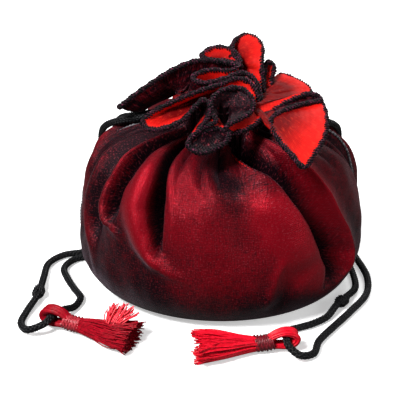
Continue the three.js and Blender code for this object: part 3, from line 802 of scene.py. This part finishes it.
bent = np.radians(turn[None, :] + slide)
line_slope = np.gradient(np.stack([(width_line[:, 0] + depth_line[:, 0]) / 2, height], axis=1), axis=0)
line_slope /= np.linalg.norm(line_slope, axis=1)[:, None]
push_out, push_up = line_slope[:, 1][:, None], -line_slope[:, 0][:, None]
body = np.zeros((rows, columns, 3))
body[:, :, 0] = (width_line[:, 0][:, None] + out * push_out) * np.sin(bent)
body[:, :, 1] = -(depth_line[:, 0][:, None] + out * push_out) * np.cos(bent)
body[:, :, 2] = np.maximum(height[:, None] + out * push_up * lifted, 0.0003)

# The neck: the casing, pleated tight round the two cords.
neck_rows = 9
neck_mean, neck_pleat, neck_pinch, neck_top = 0.0158, 0.0030, 0.0008, 0.0812
neck_rise = np.linspace(0, 1, neck_rows + 1)[1:][:, None]
around_neck = np.radians(turn[None, :])
neck_radius = (neck_mean + neck_pleat * (gathers(turn)[None, :] - 0.5)
               - neck_pinch * np.sin(neck_rise * np.pi))
neck = np.zeros((neck_rows, columns, 3))
neck[:, :, 0] = neck_radius * np.sin(around_neck)
neck[:, :, 1] = -neck_radius * np.cos(around_neck)
neck[:, :, 2] = body[-1, :, 2][None, :] * (1 - neck_rise) + neck_top * neck_rise

# The rim of the ruffle, once round from the back over the left to the front and the right, millimetres.
rim_places = [
    (16.2, 8, 93.1), (16.5, 14, 96.7), (14.2, 19, 98.9), (10.2, 22, 99.3), (6.5, 20, 98.2), (4.4, 15, 96),
    (5.9, 10, 93.3), (7.8, 7, 92.2), (5.1, 13, 95.3), (-1.3, 16, 96.1), (-6.1, 16, 94.4), (-7.8, 14, 92.9),
    (-3.7, 12, 91.9), (2.7, 9, 92.4), (7.8, 5, 91.6), (-0.5, 12, 88.5), (-12.7, 16, 83.7), (-25, 14, 78.4),
    (-35.1, 8, 76.4), (-39.6, 2, 76.2), (-40.3, -4, 77.8), (-35, -4, 82.2), (-27.1, -2, 87.3), (-18.8, 0, 92),
    (-10.2, 2, 94.7), (-1.5, 3, 94.3), (6.5, 3, 91.9), (2.9, 1, 90.9), (-3.9, -1, 91.9), (-9.8, -4, 91.3),
    (-11.3, -7, 90.3), (-7, -8, 89), (-0.8, -7, 89.9), (3.1, -5, 90.4),
    (4, -3, 90.5), (9.1, -2, 91), (13, -4, 88.8), (14.9, -7, 84.9), (14.8, -10, 81),
    (13.6, -9, 84.8), (11.3, -7, 88.2), (7.4, -7, 90.3), (3.5, -8, 90.2),
    (-0, -9, 88.9), (-8.6, -14, 87.8),
    (-18.9, -19, 85.1), (-26.8, -23, 82.2), (-30.1, -26, 79.7), (-27.4, -29, 78), (-20.6, -30, 79.2),
    (-14.6, -28, 81.6), (-10.5, -25, 85.3), (-7.1, -22, 87), (-4.8, -23, 85),
    (-5.9, -27, 81.3), (-8.6, -30, 78.8), (-10.8, -33, 76.8), (-6.3, -29, 77.2), (-1, -27, 77.2),
    (2.3, -30, 76.8), (1.5, -33, 74.8), (-2.6, -36, 73.2), (-7.5, -39, 72.4), (-11.5, -39, 73.6),
    (-13, -37, 75.6), (-10.4, -33, 77.6), (-6.7, -29, 78.8), (-2.6, -27, 80.5), (-4.4, -24, 82.9),
    (-3.6, -19, 86.7), (1.4, -14, 88.6), (7.6, -13, 88.3),
    (11.7, -17, 85.2), (10.8, -22, 82.2), (5.7, -27, 80.9), (1.2, -30, 79.2),
    (2.7, -28, 76), (9.3, -25, 76.4), (17.5, -18, 79.9), (26.7, -12, 83.4), (35.1, -9, 84.8),
    (38.9, -10, 82.7), (35.3, -12, 82.6), (27.2, -16, 82.0), (18.5, -22, 79.0), (21.1, -31, 74.4),
    (25.3, -37, 71.2), (29.9, -41, 67.6), (34.3, -36, 71.2), (38.6, -28, 75.2), (39.9, -18, 79.1),
    (39, -10, 81), (36.1, 0, 79.9), (35.3, 6, 82), (29.7, 12, 83.8), (24.5, 14, 84.8), (21.9, 10, 81.9),
    (21.5, 2, 76.7), (20, 6, 83.3), (21.3, 11, 89.7), (18.8, 11, 91.3), (17.1, 6, 85.4), (17.4, 0, 79.1),
    (16.2, 4, 86.9),
]
# Which part of the neck each stretch of rim hangs from: (number of the rim place, angle at the neck).
rim_roots = [(0, -180), (15, -145), (18, -118), (27, -82), (34, -66), (45, -50), (53, -32), (64, -12),
             (76, 16), (85, 36), (90, 60), (93, 90), (98, 130), (104, 180)]
rim_line = smooth_line([(x / 1000, y / 1000, z / 1000) for x, y, z in rim_places], 0.0004, closed=True)
rim_count = len(rim_line)
rim_given = np.array(rim_places) / 1000
nearest = [int(np.argmin(np.linalg.norm(rim_line - p, axis=1))) for p in rim_given]
stations = [nearest[i] if i < len(rim_places) else rim_count for i, _ in rim_roots]
stations[0] = 0
rim_at = np.interp(turn, [a for _, a in rim_roots], stations)
rim_looped = np.concatenate([rim_line, rim_line[:1]])
rim_points = np.stack([np.interp(rim_at, np.arange(rim_count + 1), rim_looped[:, k]) for k in range(3)],
                      axis=1)

ruffle_rows = 44
root = neck[-1]
span = rim_points - root
reach = np.linalg.norm(span, axis=1)[:, None]
outward = np.stack([np.sin(around_neck[0]), -np.cos(around_neck[0]), np.zeros(columns)], axis=1)
# How the cloth leaves the neck and meets the rim: (angle at the neck, rise on leaving, reach outwards on
# leaving, rise on meeting the rim), as shares of the way between them.
hang = [
    (-180, 0.85, 0.4, -0.2), (-145, 0.7, 0.4, -0.2), (-120, 0.0, 1.0, 0.6), (-108, -0.35, 1.2, 1.0),
    (-99, -0.6, 1.4, 1.35), (-82, -0.65, 1.35, 1.4), (-66, 0.1, 0.7, 0.3), (-45, 0.3, 0.6, 0.1),
    (-25, 0.3, 0.5, 0.0), (0, 0.4, 0.3, 0.0), (12, 0.3, 0.4, 0.0), (20, 0.15, 0.6, -0.1),
    (80, 0.2, 0.6, -0.2), (110, 0.4, 0.5, -0.2), (140, 0.7, 0.4, -0.2), (180, 0.85, 0.4, -0.2),
]
hang_at = [row[0] for row in hang]
up_leaving, out_leaving, up_meeting = (np.interp(turn, hang_at, [row[k] for row in hang])[:, None]
                                       for k in (1, 2, 3))
straight_up = np.array([0, 0, 1.0])
leave = (outward * out_leaving + straight_up * up_leaving) * reach
arrive = span * 0.8 + outward * reach * 0.2 + straight_up * up_meeting * reach
rise = np.linspace(0, 1, ruffle_rows + 1)[1:][:, None, None]
ruffle = ((2 * rise ** 3 - 3 * rise ** 2 + 1) * root + (rise ** 3 - 2 * rise ** 2 + rise) * leave
          + (3 * rise ** 2 - 2 * rise ** 3) * rim_points + (rise ** 3 - rise ** 2) * arrive)

# Crumples in the loose cloth between the neck and the rim.
lean = np.cross(np.roll(ruffle, -1, axis=1) - np.roll(ruffle, 1, axis=1), np.gradient(ruffle, axis=0))
lean /= np.maximum(np.linalg.norm(lean, axis=2), 1e-12)[:, :, None]
crumple_depth = 0.0016
crumple = np.zeros((ruffle_rows, columns, 1))
for j in range(ruffle_rows):
    for k in range(columns):
        a = math.radians(turn[k])
        spot = Vector((math.sin(a) * 9, math.cos(a) * 9, rise[j, 0, 0] * 1.6))
        crumple[j, k, 0] = noise.noise(spot) + 0.5 * noise.noise(spot * 2.3)
calm = 1 - 0.8 * np.exp(-((turn[None, :, None] - 45) / 40) ** 2)
ruffle += lean * crumple * calm * crumple_depth * np.sin(np.pi * np.minimum(rise, 1)) ** 0.7

surface = np.concatenate([body, neck, ruffle])
ruffle_share = rise[:, :, 0] * np.ones((1, columns))
# Painted shade on the neck and the ruffle: the outer cloth dark at the neck, darker towards the neck and at
# the front; the lining fully dark in the neck and darker towards it.
outer_tone_and_painted_shading = np.concatenate([body_tone_and_painted_shading, np.full((neck_rows, columns), 0.9),
                             0.80 - 0.25 * ruffle_share + 0.3 * np.exp(-(turn[None, :] / 30) ** 2)])
lining_painted_shade = np.concatenate([np.zeros((rows, columns)), np.full((neck_rows, columns), 1.0),
                              1 - ease(0.35, 0.98, ruffle_share)])
all_rows = len(surface)
for _ in range(6):
    blended = surface.copy()
    joint = slice(rows - 4, rows + neck_rows + 6)
    around_it = (surface[rows - 5:rows + neck_rows + 5] + surface[rows - 3:rows + neck_rows + 7]) / 2
    blended[joint] = surface[joint] * 0.5 + around_it * 0.5
    surface = blended


def normals_of(points):
    along = np.roll(points, -1, axis=1) - np.roll(points, 1, axis=1)
    up = np.gradient(points, axis=0)
    facing = np.cross(along, up)
    return facing / np.maximum(np.linalg.norm(facing, axis=2), 1e-12)[:, :, None]


facing = normals_of(surface)
cloth_rise = np.concatenate([[0], np.cumsum(np.linalg.norm(np.diff(surface[:, columns // 2], axis=0),
                                                            axis=1))])
cloth_width = 0.40


def cloth_panel(name, points, dark, first, last, finish, turned=False):
    """One panel, from one column to another, closed at the middle of the base. Its UV map is its lie along
    the cloth, in metres, and its attribute named dark is painted shade and painted highlights, with some
    random tone: how far the colour goes towards the darker threads."""
    picked = [k % columns for k in range(first, last + 1)]
    count = len(picked)
    pole = points[0].mean(axis=0)
    corners = np.concatenate([points[:, picked].reshape(-1, 3), pole[None, :]])
    faces = [(len(corners) - 1, k + 1, k)[::-1 if turned else 1] for k in range(count - 1)]
    for j in range(all_rows - 1):
        for k in range(count - 1):
            a = j * count + k
            face = (a, a + 1, a + count + 1, a + count)
            faces.append(face[::-1] if turned else face)
    mesh = bpy.data.meshes.new(name)
    mesh.from_pydata(corners.tolist(), [], faces)
    lie = mesh.uv_layers.new(name="lie")
    across = np.array([(first + k) / columns * cloth_width for k in range(count)])
    flat = np.stack([np.append(np.tile(across, all_rows), across.mean()),
                     np.append(np.repeat(cloth_rise, count), 0)], axis=1)
    loops = np.empty(len(mesh.loops), dtype=np.int32)
    mesh.loops.foreach_get("vertex_index", loops)
    lie.data.foreach_set("uv", flat[loops].ravel())
    mesh.polygons.foreach_set("use_smooth", np.ones(len(mesh.polygons), dtype=bool))
    # The attribute holds painted shade and painted highlights.
    shade = mesh.attributes.new("dark", "FLOAT", "POINT")
    shade.data.foreach_set("value", np.append(dark[:, picked], dark[0, 0]).astype(np.float32))
    mesh.materials.append(finish)
    panel = bpy.data.objects.new(name, mesh)
    joined(panel)
    return panel


# ---- Outer cloth: finish -------------------------------------------------------------------------
# Shot taffeta, woven of crimson one way and black the other: a crisp, slightly metallic cloth with fine
# slubs, pinkish where the light catches the crimson and almost black where it turns away. Much of that dark
# is painted shade, and some of the light painted highlight, carried by the panels' attribute.
def woven_group():
    """Shader nodes: two sets of threads crossing, with uneven thick places in both."""
    group = bpy.data.node_groups.new("woven_threads", "ShaderNodeTree")
    socket = group.interface.new_socket
    for label in ("Warp color", "Weft color", "Fleck color"):
        socket(label, in_out="INPUT", socket_type="NodeSocketColor")
    for label in ("Threads", "Slub", "Fleck", "Dark", "Base dull"):
        socket(label, in_out="INPUT", socket_type="NodeSocketFloat")
    socket("Color", in_out="OUTPUT", socket_type="NodeSocketColor")
    socket("Height", in_out="OUTPUT", socket_type="NodeSocketFloat")
    socket("Dull", in_out="OUTPUT", socket_type="NodeSocketFloat")
    nodes, wire = group.nodes, group.links.new
    given = nodes.new("NodeGroupInput")
    lie = nodes.new("ShaderNodeTexCoord")
    maths = maths_in(nodes, wire)

    def streaks(stretch, detail):
        turned = nodes.new("ShaderNodeMapping")
        turned.inputs["Scale"].default_value = stretch
        wire(lie.outputs["UV"], turned.inputs["Vector"])
        grain = nodes.new("ShaderNodeTexNoise")
        grain.inputs["Scale"].default_value = 1
        grain.inputs["Detail"].default_value = detail
        wire(turned.outputs[0], grain.inputs["Vector"])
        return grain.outputs[0]

    def mixed(factor, first, second):
        mix = nodes.new("ShaderNodeMix")
        mix.data_type = "RGBA"
        for value, label in ((factor, "Factor"), (first, "A"), (second, "B")):
            wire(value, mix.inputs[label])
        return mix.outputs["Result"]

    split = nodes.new("ShaderNodeSeparateXYZ")
    wire(lie.outputs["UV"], split.inputs[0])
    warp = maths("SINE", maths("MULTIPLY", split.outputs["X"], given.outputs["Threads"]))
    weft = maths("SINE", maths("MULTIPLY", split.outputs["Y"], given.outputs["Threads"]))
    weave = maths("MULTIPLY", warp, weft)
    across_slub = streaks((260, 2600, 1), 3)
    along_slub = streaks((2400, 300, 1), 3)
    slub = maths("MULTIPLY", maths("SUBTRACT", maths("ADD", across_slub, along_slub), 1.0),
                 given.outputs["Slub"])
    patch = streaks((38, 30, 1), 4)
    # The Dark input is painted shade and painted highlights, added to the share of the darker thread colour.
    share = maths("ADD", maths("ADD", maths("MULTIPLY", weave, 0.12), slub),
                  maths("ADD", maths("MULTIPLY", patch, 0.6), given.outputs["Dark"]))
    threads = mixed(share, given.outputs["Warp color"], given.outputs["Weft color"])
    spots = streaks((1500, 1900, 1), 2)
    sparse = nodes.new("ShaderNodeMapRange")
    sparse.inputs["From Min"].default_value = 0.56
    sparse.inputs["From Max"].default_value = 0.74
    wire(spots, sparse.inputs["Value"])
    flecks = maths("MULTIPLY", sparse.outputs["Result"], given.outputs["Fleck"])
    put_out = nodes.new("NodeGroupOutput")
    wire(mixed(flecks, threads, given.outputs["Fleck color"]), put_out.inputs["Color"])
    wire(maths("ADD", weave, maths("MULTIPLY", slub, 3.0)), put_out.inputs["Height"])
    dull = maths("ADD", maths("MULTIPLY", across_slub, 0.3), given.outputs["Base dull"])
    wire(dull, put_out.inputs["Dull"])
    return group


woven = woven_group()


def cloth_finish(name, warp, weft, fleck, slub, fleck_share, metal, dull, sheen, sheen_tint, specular, depth):
    material, shader, make, wire = new_material(name)
    threads = make("ShaderNodeGroup")
    threads.node_tree = woven
    threads.inputs["Warp color"].default_value = (*warp, 1)
    threads.inputs["Weft color"].default_value = (*weft, 1)
    threads.inputs["Fleck color"].default_value = (*fleck, 1)
    threads.inputs["Threads"].default_value = math.tau / 0.00055
    threads.inputs["Slub"].default_value = slub
    threads.inputs["Fleck"].default_value = fleck_share
    threads.inputs["Base dull"].default_value = dull
    # The attribute dark: painted shade and painted highlights, which push the colour towards the darker
    # thread colour.
    shade = make("ShaderNodeAttribute")
    shade.attribute_name = "dark"
    wire(shade.outputs["Fac"], threads.inputs["Dark"])
    wire(threads.outputs["Color"], shader.inputs["Base Color"])
    wire(threads.outputs["Dull"], shader.inputs["Roughness"])
    bump = make("ShaderNodeBump")
    bump.inputs["Strength"].default_value = 0.35
    bump.inputs["Distance"].default_value = depth
    wire(threads.outputs["Height"], bump.inputs["Height"])
    wire(bump.outputs[0], shader.inputs["Normal"])
    shader.inputs["Metallic"].default_value = metal
    shader.inputs["Specular IOR Level"].default_value = specular
    shader.inputs["Sheen Weight"].default_value = sheen
    shader.inputs["Sheen Roughness"].default_value = 0.35
    shader.inputs["Sheen Tint"].default_value = (*sheen_tint, 1)
    return material


taffeta = cloth_finish("shot_taffeta", (0.24, 0.0005, 0.007), (0.005, 0.0004, 0.0022), (0.36, 0.05, 0.07),
                       1.1, 0.45, 0.55, 0.26, 0.10, (0.75, 0.55, 0.68), 0.15, 0.00016)

outer_front = cloth_panel("outer_front_cloth", surface, outer_tone_and_painted_shading, columns // 4, 3 * columns // 4, taffeta)
outer_back = cloth_panel("outer_back_cloth", surface, outer_tone_and_painted_shading, 3 * columns // 4,
                         columns + columns // 4, taffeta)
for panel, half in ((outer_front, "front"), (outer_back, "back")):
    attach(panel, "bag")
    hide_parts(f"outer_{half}_base", f"outer_{half}_side", f"outer_{half}_shoulder",
                f"casing_{half}", f"ruffle_outer_{half}")

# ---- Lining --------------------------------------------------------------------------------------
# Orange-red satin, cut like the outer cloth and sewn to it at the rim, just inside it everywhere.
satin = cloth_finish("red_satin", (0.70, 0.008, 0.005), (0.10, 0.0003, 0.001), (0.80, 0.05, 0.02),
                     0.35, 0.25, 0.0, 0.45, 0.0, (1.0, 0.6, 0.5), 0.08, 0.00004)
lining_gap = 0.0007
inside = surface - facing * lining_gap
inside[:, :, 2] = np.maximum(inside[:, :, 2], surface[:, :, 2].min() + lining_gap * 0.5)
# The lining's attribute is painted shade: dark in the neck and darker towards it.
lining_front = cloth_panel("lining_front_cloth", inside, lining_painted_shade, columns // 4, 3 * columns // 4,
                           satin, True)
lining_back = cloth_panel("lining_back_cloth", inside, lining_painted_shade, 3 * columns // 4,
                          columns + columns // 4, satin, True)
for panel, half in ((lining_front, "front"), (lining_back, "back")):
    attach(panel, "bag")
    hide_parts(f"lining_{half}_panel", f"casing_lining_{half}", f"ruffle_lining_{half}")

# ---- Overlocked rim ------------------------------------------------------------------------------
# Both cloths are bound together at the rim by overlocking: black and plum thread wound over a cord of
# its own fluff, with magenta showing between the turns.
overlock = thread_finish("overlock_thread", (0.0010, 0.0007, 0.0014), (0.26, 0.04, 0.10), 1500, 0.7,
                         0.6, 0.02, 0.12, 0.00012, (0.54, 0.74))
bound_line = smooth_line([tuple(p) for p in rim_line[::4]], 0.00024, closed=True)
rim_bead = wind("rim_overlock_threads", bound_line, overlock, closed=True, strands=3,
                turns=round(line_length(bound_line) / 0.0036), lay=0.00078, weave=0.00016,
                waves=round(line_length(bound_line) / 0.0047), radius=0.00038, sides=5, core=0.00076)
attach(rim_bead, "bag")
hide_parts("rim_overlock")

# ---- Seams and stitching -------------------------------------------------------------------------
# The side seams are overlocked in grey and black, and stand up a little as a welt down both sides and
# under the base. The lining has its own seam inside. Two rows of running stitch hold the casing.
seam_thread = thread_finish("seam_thread", (0.03, 0.028, 0.032), (0.35, 0.33, 0.36), 1500, 0.8, 0.6, 0.2)
welt_rows = range(4, rows)
left_column, right_column = columns // 4, 3 * columns // 4
lift_off = 0.00025


def seam_path(off_cloth, spacing, lowest):
    """Down the left side, under the base and up the right side, a little way off the outer cloth."""
    left = [surface[j, left_column] + facing[j, left_column] * off_cloth for j in reversed(welt_rows)]
    right = [surface[j, right_column] + facing[j, right_column] * off_cloth for j in welt_rows]
    path = smooth_line([tuple(p) for p in left[::3]] + [tuple(p) for p in right[::3]], spacing)
    path[:, 2] = np.maximum(path[:, 2], lowest)
    return path


seam_line = seam_path(lift_off, 0.00024, 0.0007)
seam = wind("side_seam_overlock", seam_line, seam_thread, strands=2,
            turns=round(line_length(seam_line) / 0.0028), lay=0.00034, radius=0.00022, sides=5,
            core=0.00032)
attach(seam, "bag")
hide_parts("outer_side_seam")

lining_thread = thread_finish("lining_thread", (0.10, 0.002, 0.002), (0.45, 0.02, 0.01), 1500, 0.8, 0.6, 0.05)
lining_seam_depth = lining_gap + 0.0004
inner_line = seam_path(-lining_seam_depth, 0.0004, 0.0016)
lining_seam = wind("lining_seam_overlock", inner_line, lining_thread, strands=2,
                   turns=round(line_length(inner_line) / 0.0028), lay=0.00024, radius=0.0002, sides=5,
                   core=0.00024)
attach(lining_seam, "bag")
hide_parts("lining_side_seam")

stitch_length, stitch_space = 0.0019, 0.0011
casing_thread = thread_finish("casing_thread", (0.02, 0.002, 0.006), (0.09, 0.004, 0.018), 1500, 0.8,
                              0.5, 0.2)
for name, row in (("lower", rows - 1), ("upper", rows + neck_rows - 2)):
    ring = surface[row] + facing[row] * 0.0003
    ring_line = smooth_line([tuple(p) for p in ring[::2]], 0.0003, closed=True)
    per_stitch = round((stitch_length + stitch_space) / 0.0003)
    on_top = round(stitch_length / 0.0003)
    stitches = []
    for first in range(0, len(ring_line) - per_stitch, per_stitch):
        stitches.append([tuple(ring_line[first + k]) for k in range(on_top)])
    row_piece = fringe_piece(f"casing_stitches_{name}", stitches, casing_thread, 0.00028, 5)
    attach(row_piece, "bag")
    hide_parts(f"casing_stitch_{name}")
